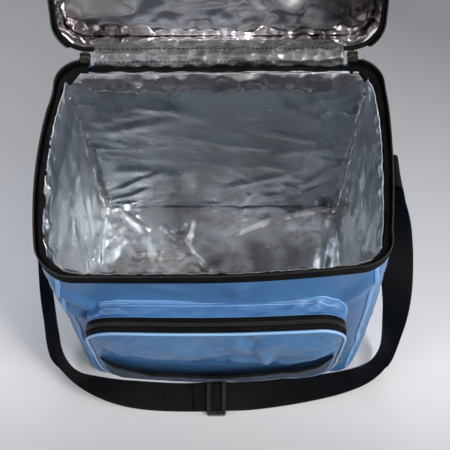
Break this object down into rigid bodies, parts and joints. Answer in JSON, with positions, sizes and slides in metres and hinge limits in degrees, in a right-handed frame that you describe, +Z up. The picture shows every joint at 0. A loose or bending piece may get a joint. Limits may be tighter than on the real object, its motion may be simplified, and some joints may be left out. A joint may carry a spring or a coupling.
{
  "type": "insulated cooler bag",
  "caption": "Soft box-shaped insulated cooler bag: foil-lined body, hinged zipped lid, zipped front pocket with a net pocket, and an adjustable shoulder strap.",
  "frame": {"origin": "centre of the base's underside, on the floor", "axes": "+Z up, the front with the pocket faces -Y, +X to the right as seen from the front"},
  "size_m": [0.3809, 0.3775, 0.4982],
  "materials": {
    "shell_fabric": "coated woven nylon, soft sheen",
    "foam": "closed-cell foam, hidden",
    "foil_lining": "satin heat-sealed foil, creased",
    "black_binding": "woven tape",
    "zip_tape": "woven tape",
    "zip_coil": "moulded nylon coil",
    "slider_metal": "dark painted metal",
    "piping": "smooth coated cord",
    "pocket_mesh": "fine dark knitted net",
    "webbing": "ribbed polypropylene webbing",
    "glide_plastic": "moulded satin plastic"
  },
  "bodies": {
    "bag": {"shell_front": "shell_fabric", "foam_front": "foam", "lining_front": "foil_lining", "shell_back": "shell_fabric", "foam_back": "foam", "lining_back": "foil_lining", "shell_left": "shell_fabric", "foam_left": "foam", "lining_left": "foil_lining", "shell_right": "shell_fabric", "foam_right": "foam", "lining_right": "foil_lining", "shell_bottom": "shell_fabric", "foam_bottom": "foam", "lining_bottom": "foil_lining", "rim_binding": "black_binding", "main_zip_tape_body": "zip_tape", "main_zip_coil_body": "zip_coil", "hinge_strip_outer": "shell_fabric", "hinge_strip_lining": "foil_lining", "pocket_gusset": "shell_fabric", "pocket_front_panel": "shell_fabric", "pocket_zip_tape_front": "zip_tape", "pocket_zip_tape_back": "zip_tape", "pocket_zip_coil_front": "zip_coil", "pocket_zip_coil_back": "zip_coil", "pocket_piping": "piping", "mesh_panel": "pocket_mesh", "mesh_binding": "black_binding", "strap_anchor_left": "webbing", "strap_anchor_right": "webbing", "strap_left": "webbing", "strap_right": "webbing"},
    "lid": {"lid_band_shell": "shell_fabric", "lid_band_lining": "foil_lining", "lid_top_shell": "shell_fabric", "lid_foam": "foam", "lid_top_lining": "foil_lining", "main_zip_tape_lid": "zip_tape", "main_zip_coil_lid": "zip_coil"},
    "slider_left": {"main_slider_left": "slider_metal"},
    "slider_right": {"main_slider_right": "slider_metal"},
    "pull_left": {"main_pull_left": "slider_metal"},
    "pull_right": {"main_pull_right": "slider_metal"},
    "pocket_slider": {"pocket_slider": "slider_metal"},
    "pocket_pull": {"pocket_pull": "slider_metal"},
    "adjuster": {"strap_adjuster": "glide_plastic"}
  },
  "joints": [
    {"name": "lid_hinge", "type": "hinge", "parent": "bag", "child": "lid", "pos_m": [0, 0.11, 0.295], "axis": [-1, 0, 0], "range_deg": [-112, 40], "deforming": ["hinge_strip_outer", "hinge_strip_lining"]},
    {"name": "slider_left_travel", "type": "hinge", "parent": "bag", "child": "slider_left", "pos_m": [-0.124, 0.081, 0.295], "axis": [0, 0, 1], "range_deg": [0, 90]},
    {"name": "slider_right_travel", "type": "hinge", "parent": "bag", "child": "slider_right", "pos_m": [0.124, 0.081, 0.295], "axis": [0, 0, -1], "range_deg": [0, 90]},
    {"name": "pull_left_swing", "type": "hinge", "parent": "slider_left", "child": "pull_left", "pos_m": [-0.124, 0.1137, 0.295], "axis": [1, 0, 0], "range_deg": [0, 45]},
    {"name": "pull_right_swing", "type": "hinge", "parent": "slider_right", "child": "pull_right", "pos_m": [0.124, 0.1137, 0.295], "axis": [1, 0, 0], "range_deg": [0, 45]},
    {"name": "pocket_slider_travel", "type": "slide", "parent": "bag", "child": "pocket_slider", "axis": [0, -0.0495, 0.9988], "range_m": [0, 0.095]},
    {"name": "pocket_pull_swing", "type": "hinge", "parent": "pocket_slider", "child": "pocket_pull", "pos_m": [0.12045, -0.12088, 0.10259], "axis": [0, -0.9988, -0.0495], "range_deg": [0, 150]},
    {"name": "adjuster_slide", "type": "slide", "parent": "bag", "child": "adjuster", "axis": [1, 0, 0], "range_m": [-0.015, 0.015], "deforming": ["strap_left", "strap_right"]}
  ]
}
